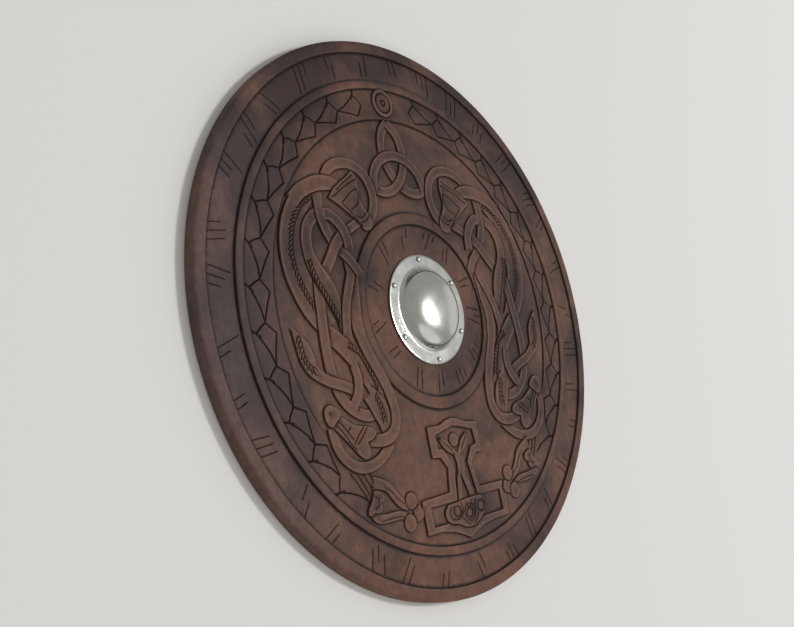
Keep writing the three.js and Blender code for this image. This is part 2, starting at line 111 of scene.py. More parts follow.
# The left beast, lowest strap first: each strap's middle line as (x, y, width).
BEAST = [
    ("crest loop", [(-98, 117, 8), (-91, 125, 9), (-81, 130, 9), (-69, 131.5, 9), (-57, 128.5, 9),
        (-48, 121, 9), (-43, 110, 9), (-42.5, 99, 9), (-46, 89, 9), (-52, 81, 8)]),
    ("inner strap", [(-85, 39, 9), (-88, 25, 10), (-90, 11, 10.5), (-92.5, -1, 11.5),
        (-93, -14, 12)]),
    ("body", [(-85, 111, 9), (-96, 112.5, 12), (-107, 112, 14), (-117.5, 106.5, 17),
        (-129, 97.5, 19.5), (-137.5, 86.5, 21.5), (-144, 74, 23.5), (-148, 61, 24.5),
        (-149.5, 48, 24.5), (-148.5, 35, 24.5), (-145, 23, 24.5), (-139.5, 11, 24.5),
        (-133, 0, 22), (-125, -10, 18)]),
    ("post top", [(-128, 29, 9), (-130, 14, 9.5), (-131, 2, 9.5), (-132.5, -11, 9.5),
        (-133, -19, 9.5)]),
    ("second body", [(-108, 86, 9.5), (-115, 85, 10), (-122, 81, 10), (-128, 74.5, 10),
        (-131.5, 65, 10.5), (-132, 53, 11), (-129, 42, 13.5), (-123, 31, 16), (-117, 20, 15),
        (-113, 9, 12), (-109.5, -3, 9), (-107.5, -17, 8)]),
    ("bar", [(-83, 71.5, 7.5), (-74, 76, 7.5), (-66, 80, 7.5)]),
    ("drop", [(-109.5, 105, 9.5), (-110.5, 93, 9.5), (-110, 82, 9.5), (-107.5, 72.5, 9.5),
        (-103.5, 64.5, 9.5), (-100, 59, 9.5)]),
    ("long strap", [(-89.5, 45, 8.5), (-89, 35, 8.5), (-93.5, 25, 8.5), (-99, 14, 8.5),
        (-103, 3, 8.5), (-105.5, -8, 8.5), (-106.5, -19, 8.5), (-103, -29, 8.5)]),
    ("short strap", [(-98.5, 57, 8.5), (-91, 50.5, 8.5), (-84, 43.5, 8.5), (-78.5, 35, 8.5)]),
    ("cross strap", [(-116, 39, 9.5), (-108.5, 48, 9.5), (-102.5, 56, 9.5), (-96, 63, 9.5),
        (-89, 67.5, 9.5)]),
    ("hook", [(-105.5, 85.5, 9.5), (-101, 85.5, 9.5), (-94.5, 81, 9.5), (-88.5, 74, 9.5),
        (-85, 65, 9.5), (-84.5, 56, 9.5)]),
    ("neck", [(-81, 109, 7), (-89, 112, 10), (-99, 112.5, 12.5), (-109, 111.5, 12.5),
        (-120, 108, 12), (-130, 103, 12), (-139, 95.5, 12)]),
    ("low body", [(-127, -14, 14), (-117, -22, 15), (-108, -31, 15.5), (-100, -40, 15.5),
        (-93, -51, 15.5), (-87.5, -61, 15.5), (-85, -69, 15)]),
    ("post", [(-132, -5, 9.5), (-133, -19, 9.5), (-133.5, -31, 9.5), (-133, -42, 9.5),
        (-131, -53, 9.5)]),
    ("low curve", [(-131, -55, 9), (-128, -63, 9), (-123, -70.5, 9), (-116, -76.5, 9),
        (-109, -80.5, 9), (-101.5, -82.5, 9), (-92, -82, 9)]),
    ("leaf tail", [(-164.5, -8, 2), (-161, -15, 8), (-157, -24, 13.5), (-155, -32, 14),
        (-152, -40, 11), (-145, -46, 9), (-136, -51, 8.5), (-126, -54.5, 8.5), (-117, -58, 8.5),
        (-110, -61.5, 8.5)]),
    ("small hook", [(-106.5, -41, 8.5), (-104.5, -50, 8.5), (-106, -59, 8.5), (-109.5, -66.5, 8.5),
        (-114.5, -72, 8.5)]),
    ("low body end", [(-96, -65, 14), (-90, -73, 17), (-85.5, -82, 18), (-83, -90, 15),
        (-82.5, -99, 12)]),
    ("low crest", [(-144.5, -87, 7), (-142.5, -99, 8.5), (-138, -109, 8.5), (-130, -117, 8.5),
        (-120, -121.5, 8.5), (-109, -122, 8.5), (-98, -119, 8.5), (-88, -113, 8.5),
        (-79, -105, 8.5)]),
    ("sweep", [(-93, -12, 12), (-88.5, -28, 10.5), (-83, -40, 10.5), (-77, -52, 10.5),
        (-72, -65, 10), (-69, -78, 10), (-70, -91, 10), (-77, -100.5, 10), (-89, -104, 10),
        (-106, -102, 9)]),
]

# Both heads of the beast, and the hollow curled end behind the lower one, as outlines.
HEADS = [
    ("upper head", [(-96.5, 100), (-87, 94.5), (-79, 89), (-71, 83), (-65, 78), (-60, 72.5),
        (-54, 73), (-50.5, 76), (-50, 81), (-53, 87), (-57, 92), (-60, 98), (-60, 107),
        (-59.5, 115), (-63, 124), (-71, 119), (-78, 115), (-85, 110.5), (-90, 107)]),
    ("lower head", [(-146, -82), (-133, -96), (-125, -105), (-119, -112), (-114, -115.5),
        (-109, -114), (-107, -108), (-108, -103), (-102, -101.5), (-97, -97.5), (-100, -93),
        (-107, -90.5), (-117, -88.5), (-126, -83.5), (-134, -79)]),
    ("curl", [(-148.3, -80), (-148.6, -74.5), (-146.2, -70.7), (-142.5, -69.3), (-138.5, -70.2),
        (-135, -72.8), (-131.5, -77), (-134, -80), (-139, -83.6), (-142.5, -86.5), (-146.5, -84)]),
]
CURL_HOLLOW = (-142.3, -75.6, 3.8)

# Rows of barbs on the beast: where, width, pitch, whether a plain line runs inside, and the line.
BARBS = [
    ("body", 4.2, 4.1, False, [(-118, 100), (-129, 94), (-138, 85), (-145, 74), (-149.5, 61),
        (-151, 49), (-149.5, 37), (-146, 25), (-141, 14), (-135, 5)]),
    ("second body", 4.0, 4.0, True, [(-133.5, 47), (-131, 35), (-126.5, 25), (-121, 14), (-115, 3),
        (-110.5, -6)]),
    ("low body", 4.4, 4.0, True, [(-109, -24), (-97, -32), (-91, -44), (-86, -55), (-83, -63)]),
    ("low body end", 4.4, 4.0, False, [(-89, -66), (-87, -72), (-85, -80), (-84, -92)]),
    ("leaf tail", 4.6, 4.2, False, [(-162, -13), (-160.5, -23), (-159, -32), (-154, -39),
        (-148, -43)]),
]
HEAD_LINES = [
    ("upper head", [(-61, 117), (-71, 112.7), (-80, 108), (-88, 102.7), (-92, 101)]),
    ("upper head", [(-62.5, 109), (-72, 104), (-76.5, 100), (-81, 97)]),
    ("upper head", [(-64, 121), (-72, 116), (-79, 112), (-86, 107)]),
    ("upper head", [(-62, 108.5), (-61, 103), (-62.5, 97), (-65, 94.5), (-71, 91)]),
    ("upper head", [(-82, 94.5), (-74, 87.5), (-67.5, 80.5), (-63, 76.5)]),
    ("upper head", [(-68, 84.5), (-62, 83), (-55.5, 87.5)]),
    ("upper head", [(-63, 79), (-57.5, 80.5), (-52, 85.5)]),
    ("lower head", [(-140, -83.8), (-136, -81), (-132.5, -79.2)]),
    ("lower head", [(-139.2, -84.5), (-133, -92), (-126.7, -101.5), (-122, -107)]),
    ("lower head", [(-136, -82), (-130, -89.5), (-124, -98)]),
    ("lower head", [(-127, -91), (-124.2, -89.2)]),
    ("lower head", [(-121.5, -100.5), (-116, -95.5), (-110, -90.7)]),
    ("lower head", [(-119.5, -103), (-113, -98), (-106.5, -92)]),
]

# The serpents' heads: two jaws that curl round a pair of balls, with a lobed cheek behind.
JAWS = [
    ("upper jaw", [(-112, -135, 10), (-103, -137.5, 8), (-95.5, -141.5, 7.5), (-90, -148.5, 7.5),
        (-85, -155, 7.5), (-79, -159.5, 6.5), (-72, -161, 5), (-66, -160, 4)]),
    ("lower jaw", [(-119, -157, 6), (-113, -163, 7), (-105, -164.7, 6.5), (-95, -165, 6.5),
        (-87, -165.5, 6), (-80, -168, 5), (-73, -171, 4.5)]),
]
JAW_BALLS = [(-71, -157, 6.5), (-77, -174, 6.8)]
CHEEK = [(-112, -141.5), (-107, -142.5), (-103.5, -144.5), (-102, -147.5), (-103.5, -150.5),
    (-107.5, -151.8), (-106.3, -154.5), (-108, -157.5), (-112, -159), (-116, -157.5),
    (-120, -159.5),
    (-122.5, -158), (-121, -154), (-117, -150), (-114, -145.5)]
TONGUE = [(-71, -165), (-63, -162), (-59.5, -168), (-61, -172.5), (-68.5, -175)]
NECK_STRANDS = [
    [(-133, -124), (-128, -132), (-122, -142), (-118, -150)],
    [(-126, -124), (-122, -133), (-117, -143)],
    [(-119, -125), (-117, -132), (-113, -139)],
    [(-112.5, -126), (-111, -132), (-108, -135)],
]
JAW_LINES = [
    ("upper jaw", [(-99, -141), (-92, -146), (-86.5, -153), (-80, -158)]),
    ("lower jaw", [(-109, -166), (-98, -165.8), (-88, -166.5), (-80, -169.5)]),
    ("cheek", [(-113, -145), (-108.5, -148), (-109, -153), (-114, -155)]),
]

HAMMER = [(-34, -102), (-34.5, -128), (-24, -129), (-17, -139), (-21.5, -160), (-58.5, -160.5),
    (-59, -188.5), (-41, -189), (-25, -192.5), (-14, -197), (-5, -201.5), (4, -198), (16, -194.5),
    (31, -193), (54, -193), (54.5, -163), (20, -162), (16, -139), (24, -132), (33, -132),
    (33.5, -105.5), (18, -103.5), (8, -99.5), (0, -98), (-9, -99.5), (-18, -102.5)]
HAMMER_PANEL = [(-26, -109.5), (-9, -106), (0, -104.5), (9, -106), (27, -111), (28, -125),
    (20, -126), (11, -138), (16, -168), (48, -169), (48, -188), (20, -188), (10, -190), (-4, -194),
    (-15, -189), (-25, -185), (-50, -184), (-50, -167), (-13.5, -168), (-10, -139), (-19, -123),
    (-26, -122)]
STEM = [
    ("stem", [(0, -118, 9), (0, -127, 10.5), (1, -138, 9), (-1, -149, 9)]),
    ("left leg", [(-4, -147, 5), (-7, -158, 5), (-9, -171, 5)]),
    ("right leg", [(1, -147, 5), (5, -158, 5), (8, -171, 5)]),
]
PETALS = [
    ("left petal", [(-20.5, -113.5, 1.5), (-16.5, -117.5, 6), (-12, -121.5, 7.5), (-8, -125, 6),
        (-4.5, -128, 4)]),
    ("right petal", [(17.5, -113.5, 1.5), (14, -117.5, 6), (10, -121.5, 7.5), (6, -125.5, 6),
        (2.5, -128, 4)]),
]
BUD = (-1.5, -117, 5.6)
PLAQUE = [(-27, -170), (-32, -175), (-31.5, -181), (-27, -185), (-17, -187.5), (-9, -191.5),
    (1, -192.5), (10, -190), (18, -185), (22, -180), (23, -174), (19, -170)]
PLAQUE_BALLS = [(-16, -177, 3.4), (17, -178, 3.4), (0, -181, 3.0)]
# The knot in the hammer's head: half of its lines, which are mirrored.
PLAQUE_LINES = [
    [(-24, -172), (-27.5, -177), (-25, -182), (-18, -183.5), (-11.5, -181), (-8.5, -176),
        (-9.5, -172)],
    [(0, -173), (-5, -175), (-7, -180), (-5, -186), (0, -188.5)],
    [(-20.5, -172), (-22.5, -177), (-19.5, -181)],
    [(-11, -183.5), (-8, -187.5), (-3, -190.5)],
    [(-4, -171.5), (-3, -174.5), (0, -176.5)],
]

KNOT_MIDDLE = (-4, 131)
KNOT_CORNERS = [(0, 42), (-34, -20), (34, -20)]
KNOT_BOW = 0.75
KNOT_WIDTH = 8.5

MEDALLION = (-3, 192.5)
MEDALLION_RINGS = [12.8, 9.2, 5.6, 2.6]


def smooth_line(points, step):
    """A centripetal Catmull-Rom curve through the points, sampled about every step."""
    p = np.array(points, float)
    p = np.vstack([2 * p[0] - p[1], p, 2 * p[-1] - p[-2]])
    out = [p[1]]
    for a, b, c, d in zip(p, p[1:], p[2:], p[3:]):
        gaps = [max(1e-6, np.linalg.norm((v - u)[:2])) ** 0.5 for u, v in ((a, b), (b, c), (c, d))]
        t0, t1, t2, t3 = np.cumsum([0] + gaps)
        count = max(1, int(round(np.linalg.norm((c - b)[:2]) / step)))
        for t in np.linspace(t1, t2, count + 1)[1:]:
            ab = (t1 - t) / (t1 - t0) * a + (t - t0) / (t1 - t0) * b
            bc = (t2 - t) / (t2 - t1) * b + (t - t1) / (t2 - t1) * c
            cd = (t3 - t) / (t3 - t2) * c + (t - t2) / (t3 - t2) * d
            abc = (t2 - t) / (t2 - t0) * ab + (t - t0) / (t2 - t0) * bc
            bcd = (t3 - t) / (t3 - t1) * bc + (t - t1) / (t3 - t1) * cd
            out.append((t2 - t) / (t2 - t1) * abc + (t - t1) / (t2 - t1) * bcd)
    return np.array(out)


def rightwards(line, closed=False):
    """A unit vector at each point of a line, square to it and to its right."""
    if closed:
        along = np.roll(line, -1, axis=0) - np.roll(line, 1, axis=0)
    else:
        along = np.gradient(line, axis=0)
    along /= np.maximum(1e-9, np.linalg.norm(along, axis=1))[:, None]
    return np.column_stack([along[:, 1], -along[:, 0]])


def sides_of(line):
    """Left and right side of a strap whose line is (x, y, width)."""
    across = rightwards(line[:, :2]) * line[:, 2:3] / 2
    return line[:, :2] - across, line[:, :2] + across


def resampled(points, step, closed=False):
    p = np.array(points, float)
    if closed:
        p = np.vstack([p, p[:1]])
    out = [p[0]]
    for a, b in zip(p, p[1:]):
        count = max(1, int(round(np.linalg.norm(b - a) / step)))
        out += [a + (b - a) * i / count for i in range(1, count + 1)]
    return np.array(out)


def circle(x, y, radius, count):
    turn = np.linspace(0, 2 * math.pi, count, endpoint=False)
    return np.column_stack([x + radius * np.cos(turn), y + radius * np.sin(turn)])


def polar(radius, degrees):
    return (radius * math.cos(math.radians(degrees)), radius * math.sin(math.radians(degrees)))


def inside(points, outline):
    """Which points lie inside a closed outline."""
    x, y = points[:, 0], points[:, 1]
    hit = np.zeros(len(points), bool)
    for (x0, y0), (x1, y1) in zip(outline, np.roll(outline, -1, axis=0)):
        if y0 == y1:
            continue
        hit ^= ((y0 > y) != (y1 > y)) & (x < (x1 - x0) * (y - y0) / (y1 - y0) + x0)
    return hit


def distance(points, line, open_ends=False):
    """Distance from each point to a line; with open ends, what lies past an end is far away."""
    a, b = line[:-1], line[1:]
    d = b - a
    length = np.maximum(1e-9, (d * d).sum(1))
    rel = points[:, None, :] - a[None]
    t = (rel * d[None]).sum(2) / length[None]
    near = np.clip(t, 0, 1)
    gap = np.linalg.norm(rel - near[:, :, None] * d[None], axis=2)
    which = gap.argmin(1)
    rows = np.arange(len(points))
    best = gap[rows, which]
    if open_ends:
        at = t[rows, which]
        past = np.where(which == 0, np.maximum(0, -at) * np.sqrt(length[0]), 0)
        last = len(a) - 1
        past = np.maximum(past, np.where(which == last, np.maximum(0, at - 1), 0)
            * np.sqrt(length[last]))
        best = best + 6 * past
    return best


# A figure stands proud of what it lies over. Its walls are the sides that face out. A cut is
# given by half its width and by its depth.
FINE_CUT = (0.7, 0.6)
HEAD_CUT = (0.8, 0.8)
NECK_CUT = (0.9, 0.8)
BARB_CUT = (0.85, 0.9)
SCALLOP_CUT = (0.7, 0.75)
RAIL_CUT = (0.8, 0.9)
PLAQUE_CUT = (0.7, 0.7)
MEDALLION_CUT = (1.0, 1.3)
CURL_DEPTH = 1.6
figures = []
grooves = []


def add_strap(name, points):
    line = smooth_line(points, CARVED_STEP)
    left, right = sides_of(line)
    outline = np.vstack([left, right[::-1]])
    figures.append({"name": name, "outline": outline, "walls": [left, right], "open": True})


def add_plate(name, outline, rounded=True):
    if rounded:
        loop = smooth_line(list(outline) + [outline[0]], CARVED_STEP)[:, :2]
    else:
        loop = resampled(outline, CARVED_STEP, closed=True)
    figures.append({"name": name, "outline": loop[:-1], "walls": [loop], "open": False})


def add_ball(name, x, y, radius):
    loop = circle(x, y, radius, max(12, int(2 * math.pi * radius / 1.6)))
    figures.append({"name": name, "outline": loop, "walls": [np.vstack([loop, loop[:1]])],
        "open": False, "dome": (x, y, radius)})


def add_groove(points, half_width, depth, on, soft=0.0, step=CARVED_STEP):
    """A V-shaped cut along a line; on names the figure that it's cut in."""
    line = resampled(points, step)
    grooves.append({"line": line, "half": half_width, "depth": depth, "on": on, "soft": soft})


def mirror(wider, inwards, taller, drop):
    return lambda p: (-p[0] * wider - inwards, p[1] * taller - drop) + tuple(p[2:])


def mirror_ball(place, ball):
    x, y = place(ball[:2])
    return (x, y, ball[2])


def unchanged(p):
    return p


def barbs(points, width, pitch, on, place, rail):
    """A row of slanting cuts with a scalloped outer edge, like a feather's barbs."""
    line = smooth_line([p + (width,) for p in points], 0.5)
    paces = np.linalg.norm(np.diff(line[:, :2], axis=0), axis=1)
    travelled = np.concatenate([[0], np.cumsum(paces)])
    outer, inner = sides_of(line)

    def at(side, s):
        return tuple(np.interp(s, travelled, side[:, k]) for k in (0, 1))

    for s in np.arange(0, travelled[-1] - pitch, pitch):
        root, tip, after = at(outer, s), at(inner, s + 1.1 * width), at(outer, s + pitch)
        middle = at(line[:, :2], s + 0.3 * width)
        beside, rim = at(line[:, :2], s + 0.6 * pitch), at(outer, s + 0.6 * pitch)
        bulge = tuple(rim[k] + 0.3 * (rim[k] - beside[k]) for k in (0, 1))
        add_groove([place(p) for p in (root, middle, tip)], *BARB_CUT, on=on)
        add_groove([place(p) for p in (root, bulge, after)], *SCALLOP_CUT, on=on)
    if rail:
        add_groove([place(tuple(p)) for p in inner[::6]], *RAIL_CUT, on=on)


beast_right = mirror(1.065, 9.3, 1.03, 3)
jaw_right = mirror(1, 5, 1, 1)

for corner in range(3):
    start, far, end = (KNOT_CORNERS[(corner + i) % 3] for i in range(3))
    bow = []
    for turn in np.linspace(0, math.pi, 9):
        x, y = (KNOT_MIDDLE[k] + (start[k] + end[k]) / 2 + (start[k] - end[k]) / 2 * math.cos(turn)
            + far[k] * KNOT_BOW * math.sin(turn) for k in range(2))
        bow.append((x, y, KNOT_WIDTH))
    add_strap("knot %d" % corner, bow)

add_plate("hammer", HAMMER, rounded=False)
panel = resampled(HAMMER_PANEL, CARVED_STEP, closed=True)
for name, points in STEM + PETALS:
    add_strap(name, points)
    if name in ("left petal", "right petal"):
        add_groove([p[:2] for p in points[:4]], *FINE_CUT, on=name)
add_ball("bud", *BUD)
add_plate("plaque", PLAQUE)
for ball in PLAQUE_BALLS:
    add_ball("plaque ball", *ball)
for line in PLAQUE_LINES:
    for flip in (1, -1):
        add_groove(smooth_line([(flip * x, y, 0) for x, y in line], 1.5)[:, :2],
            *PLAQUE_CUT, on="plaque", step=1.5)

for side, place in (("left ", unchanged), ("right ", beast_right)):
    for name, points in BEAST:
        add_strap(side + name, [place(p) for p in points])
    for name, outline in HEADS:
        add_plate(side + name, [place(p) for p in outline])
    for on, width, pitch, rail, points in BARBS:
        barbs(points, width, pitch, side + on, place, rail)
    for on, line in HEAD_LINES:
        add_groove(smooth_line([place(p + (0,)) for p in line], CARVED_STEP)[:, :2], *HEAD_CUT,
            on=side + on)
    x, y, radius = mirror_ball(place, CURL_HOLLOW)
    add_groove([(x, y), (x + 0.1, y)], radius, CURL_DEPTH, on=side + "curl", step=1)

for side, place in (("left ", unchanged), ("right ", jaw_right)):
    for name, points in JAWS:
        add_strap(side + name, [place(p) for p in points])
    add_plate(side + "cheek", [place(p) for p in CHEEK])
    add_plate(side + "tongue", [place(p) for p in TONGUE], rounded=False)
    for ball in JAW_BALLS:
        add_ball(side + "jaw ball", *mirror_ball(place, ball))
    for strand in NECK_STRANDS:
        add_groove([place(p) for p in strand], *NECK_CUT, on="ground", soft=0.2)
    for on, line in JAW_LINES:
        add_groove([place(p) for p in line], *FINE_CUT, on=side + on)

for ring in MEDALLION_RINGS[1::2]:
    loop = circle(*MEDALLION, ring, 24)
    add_groove(np.vstack([loop, loop[:1]]), *MEDALLION_CUT, on="medallion")
add_ball("medallion", *MEDALLION, MEDALLION_RINGS[0])

# The serpents' scales: each has a point on the outer side, a hollow back and a long inner edge.
SCALE_FIRST = 99.8
SCALE_PITCH = 10.05
SCALE_COUNT = 13
SCALE_CUT = 0.95
SCALE_TIP_CUT = 1.3
SCALE_DEPTH = 1.1
for i in range(SCALE_COUNT):
    start = SCALE_FIRST + i * SCALE_PITCH
    end = start + SCALE_PITCH
    unit = [
        (SCALE_CUT, [(190, start), (195.5, start + 1), (200.5, start + 2.2)]),
        (SCALE_TIP_CUT, [(204.3, start + 1.5), (200.5, start + 2.2), (197, start + 3.1)]),
        (SCALE_CUT, [(200.5, start + 2.2), (194.8, start + 4.8), (191.3, start + 7.2),
            (190, end)]),
    ]
    if i < SCALE_COUNT - 1:
        unit += [(SCALE_CUT, [(190, start), (181, start + 2.7)]),
            (SCALE_CUT, [(181, start + 2.7), (185, start + 6), (190, end)])]
    for half_width, line in unit:
        for flip in (1, -1):
            flat = [(flip * polar(r, a)[0], polar(r, a)[1]) for r, a in line]
            add_groove(flat, half_width, SCALE_DEPTH, on="ground", soft=0.25, step=2.4)

# Marks that spell nothing: each is a few short parallel cuts of different lengths, like tallies,
# that slant one way or the other by turns.
MARK_CUT = (0.85, 0.7)
marks = random.Random(7)
for count, inner, outer, spread in ((33, 217.5, 236.5, 1.7), (13, 57.5, 74, 5.2)):
    for i in range(count):
        middle = 90 + (i + 0.5) * 360 / count + marks.uniform(-0.3, 0.3) * spread
        slant = marks.choice((-1, -0.5, 0.5, 1)) * spread * 0.9
        cuts = marks.choice((2, 2, 3))
        for j in range(cuts):
            at = middle + (j - (cuts - 1) / 2) * spread
            low = inner + marks.choice((0, 0, 0.3, 0.55)) * (outer - inner)
            high = outer if low > inner else outer - marks.choice((0, 0.4)) * (outer - inner)
            lean_low = slant * (low - inner) / (outer - inner)
            lean_high = slant * (high - inner) / (outer - inner)
            add_groove([polar(low, at + lean_low), polar(high, at + lean_high)], *MARK_CUT,
                on="ground")


def board_outline_points():
    """The lines that the surface has to follow: the top and foot of each wall, and each groove."""
    lines = []
    for figure in figures:
        for wall in figure["walls"]:
            closed = not figure["open"]
            p = wall[:-1] if closed else wall
            out = rightwards(p, closed)
            if inside(p + PROBE * out, figure["outline"]).mean() > 0.5:
                out = -out
            lines += [(p, closed), (p + out * WALL, closed), (p + out * (WALL + CORNER), closed)]
    loop = panel[:-1]
    into = rightwards(loop, closed=True)
    if inside(loop + PROBE * into, panel).mean() <= 0.5:
        into = -into
    lines += [(loop, True), (loop + into * WALL, True)]
    for groove in grooves:
        line = groove["line"]
        across = rightwards(line) * groove["half"]
        lines += [(line, False), (line - across, False), (line + across, False)]
    return lines


def near(points, shape, margin):
    """Which points lie in the box round a shape, widened by a margin."""
    lo, hi = shape.min(0) - margin, shape.max(0) + margin
    return np.nonzero(((points >= lo) & (points <= hi)).all(1))[0]


def uncarved(points, radius):
    """Height of the rings and the ground, and how much of the scales' inner step is left there."""
    levels, open_ground = np.array(LEVELS), np.array(OPEN_GROUND)
    height = np.interp(radius, levels[:, 0], levels[:, 1])
    from_top = np.degrees(np.arccos(points[:, 1] / np.maximum(radius, 1e-6)))
    stepped = np.clip((STEP_ENDS[1] - from_top) / (STEP_ENDS[1] - STEP_ENDS[0]), 0, 1)
    level = np.interp(radius, open_ground[:, 0], open_ground[:, 1])
    band = (radius > open_ground[0, 0]) & (radius < open_ground[-1, 0])
    return np.where(band, stepped * height + (1 - stepped) * level, height), stepped


def covered(points):
    """The topmost figure over each point and how far inside its edge the point lies, and for each
    figure the points near it, their distance from its walls and which of them it covers."""
    cover = np.full(len(points), -1)
    edge = np.full(len(points), FAR)
    gaps = []
    for i, figure in enumerate(figures):
        rows = near(points, figure["outline"], FIGURE_MARGIN)
        gap = np.full(len(rows), FAR)
        for wall in figure["walls"]:
            gap = np.minimum(gap, distance(points[rows], wall, figure["open"]))
        within = inside(points[rows], figure["outline"]) | (gap < ON_EDGE)
        if figure["name"] == "hammer":
            hollow = inside(points[rows], panel)
            rim = distance(points[rows], panel)
            gap = np.minimum(gap, rim)
            within &= ~(hollow & (rim > ON_EDGE))
        cover[rows[within]] = i
        edge[rows[within]] = gap[within]
        gaps.append((rows, gap, within))
    return cover, edge, gaps


def beside_figures(cover, gaps):
    """How far the surface is taken down next to the figures, and how dark the corner is painted,
    as shade together with the stain pooled there.
    """
    cut, dark = np.zeros(len(cover)), np.zeros(len(cover))
    for i, (rows, gap, within) in enumerate(gaps):
        out = ~within & (cover[rows] < i)
        r, g = rows[out], gap[out]
        over = cover[r] >= 0
        reach = np.where(over, CROSSING_REACH, GROUND_REACH)
        depth = np.where(over, CROSSING_DEPTH, GROUND_DEPTH)
        fall = np.where(g < WALL, g / WALL, np.clip(1 - (g - WALL) / reach, 0, 1) ** 2)
        cut[r] = np.maximum(cut[r], depth * fall)
        stained_and_shaded = np.where(g < WALL, g / WALL, np.exp(-np.maximum(0, g - WALL) / SHADE_AND_STAIN_REACH))
        dark[r] = np.maximum(dark[r], CORNER_SHADE_AND_STAIN * stained_and_shaded)
    return cut, dark


def beside_rings(radius, stepped):
    """How dark the foot of each ring's step is painted, as shade together with the stain pooled
    there.
    """
    dark = np.zeros(len(radius))
    for foot, way in RING_FEET:
        off = (radius - foot) * way
        stained_and_shaded = np.where(off > -0.1, np.exp(-np.maximum(0, off) / RING_SHADE_AND_STAIN_REACH), 0)
        dark = np.maximum(dark, stained_and_shaded * (stepped if foot == SCALE_STEP else 1))
    return dark


def in_grooves(points, cover):
    """How far the cuts go down, and how dark they are painted, as shade together with the stain
    pooled in them.
    """
    names = ["ground"] + [f["name"] for f in figures]
    cut, dark = np.zeros(len(points)), np.zeros(len(points))
    for groove in grooves:
        wanted = [k - 1 for k, n in enumerate(names) if n == groove["on"]]
        rows = near(points, groove["line"], groove["half"] + SOFT_MARGIN * (groove["soft"] > 0))
        rows = rows[np.isin(cover[rows], wanted)]
        if len(rows) == 0:
            continue
        gap = distance(points[rows], groove["line"])
        share = np.clip(1 - gap / groove["half"], 0, 1)
        lowered = groove["depth"] * share + groove["soft"] * np.exp(-gap / SOFT_REACH)
        cut[rows] = np.maximum(cut[rows], lowered)
        narrow = groove["half"] < WIDE_CUT
        shade = min(1, 0.25 + 0.75 * groove["depth"]) if narrow else WIDE_CUT_SHADE_AND_STAIN
        dark[rows] = np.maximum(dark[rows], share * shade)
    return cut, dark


def board_height(points):
    """Height of the carved surface over each point in mm, how deep in a cut or a corner it lies,
    which sets the painted shade and pooled stain there, and how near the edge of something that
    stands proud, which sets a painted highlight, both from 0 to 1."""
    radius = np.linalg.norm(points, axis=1)
    height, stepped = uncarved(points, radius)
    cover, edge, gaps = covered(points)
    carved = cover >= 0
    top = FIGURE_TOP - EDGE_ROUNDING * np.exp(-np.maximum(edge, 0) / EDGE_REACH)
    height[carved] = top[carved]
    # The beads are rounded, and the medallion is a flat disc.
    for i, figure in enumerate(figures):
        if figure["name"] != "medallion" and "dome" in figure:
            x, y, ball = figure["dome"]
            rows = np.nonzero(cover == i)[0]
            share = np.clip(np.linalg.norm(points[rows] - (x, y), axis=1) / ball, 0, 1)
            height[rows] = BALL_FOOT + BALL_RISE * np.sqrt(1 - share ** 2)
    beside, corner = beside_figures(cover, gaps)
    height -= beside
    # The knife leaves the surface slightly uneven, everywhere but under the boss.
    for k in np.nonzero(radius > BOSS_SEAT)[0]:
        x, y = points[k]
        waves = noise_at(Vector((x / LONG_WAVE, y / LONG_WAVE, 0.3)))
        waves += 0.5 * noise_at(Vector((x / SHORT_WAVE, y / SHORT_WAVE, 7)))
        height[k] -= UNEVEN * max(0, 0.6 + waves)
    # The feet of walls and rings and the cuts are painted dark: shade together with the stain
    # pooled there.
    deepest, groove_shade_and_stain = in_grooves(points, cover)
    foot = np.where(carved, 0, beside_rings(radius, stepped))
    shade_and_stain = np.maximum.reduce([foot, corner, groove_shade_and_stain])
    # The top edges of what stands proud are painted lighter, as a highlight.
    edge_highlight = np.where(carved, np.exp(-np.maximum(edge, 0) / EDGE_HIGHLIGHT_REACH), 0)
    return height - deepest, shade_and_stain, edge_highlight * (1 - shade_and_stain)


def board_mesh():
    coords, edges = [], []
    for line, closed in board_outline_points():
        first = len(coords)
        coords += [tuple(p) for p in line]
        last = len(coords) - 1
        edges += [(k, k + 1) for k in range(first, last)]
        if closed:
            edges.append((last, first))
    for radius, _ in LEVELS:
        if radius > BOSS_SEAT:
            count = ARCS if radius > 150 else ARCS // 2
            first = len(coords)
            coords += [tuple(p) for p in circle(0, 0, radius, count)]
            edges += [(first + k, first + (k + 1) % count) for k in range(count)]
    tree = kdtree.KDTree(len(coords))
    for k, (x, y) in enumerate(coords):
        tree.insert((x, y, 0), k)
    tree.balance()
    rows = int(2 * RADIUS / (OPEN_STEP * HEX_ROW)) + 2
    for j in range(rows):
        y = -RADIUS + j * OPEN_STEP * HEX_ROW
        for k in range(int(2 * RADIUS / OPEN_STEP) + 2):
            x = -RADIUS + (k + 0.5 * (j % 2)) * OPEN_STEP
            clear = tree.find((x, y, 0))[2] > LINE_MARGIN * OPEN_STEP
            if math.hypot(x, y) < RADIUS - RIM_MARGIN and clear:
                coords.append((x, y))
    flat, _, faces, _, _, _ = geometry.delaunay_2d_cdt([Vector(c) for c in coords], edges, [], 0,
        1e-4)
    flat = np.array([tuple(v) for v in flat])
    height, shade_and_stain, edge_highlight = board_height(flat)
    return np.column_stack([flat, height]), faces, shade_and_stain, edge_highlight


def bridge(work, rings):
    """Faces from each ring of points to the next."""
    for a, b in zip(rings, rings[1:]):
        for k in range(len(a)):
            n = (k + 1) % len(a)
            work.faces.new((a[k], b[k], b[n], a[n]))


def finished(work, name):
    mesh = bpy.data.meshes.new(name)
    work.to_mesh(mesh)
    work.free()
    made = bpy.data.objects.new(name, mesh)
    bpy.context.scene.collection.objects.link(made)
    return made


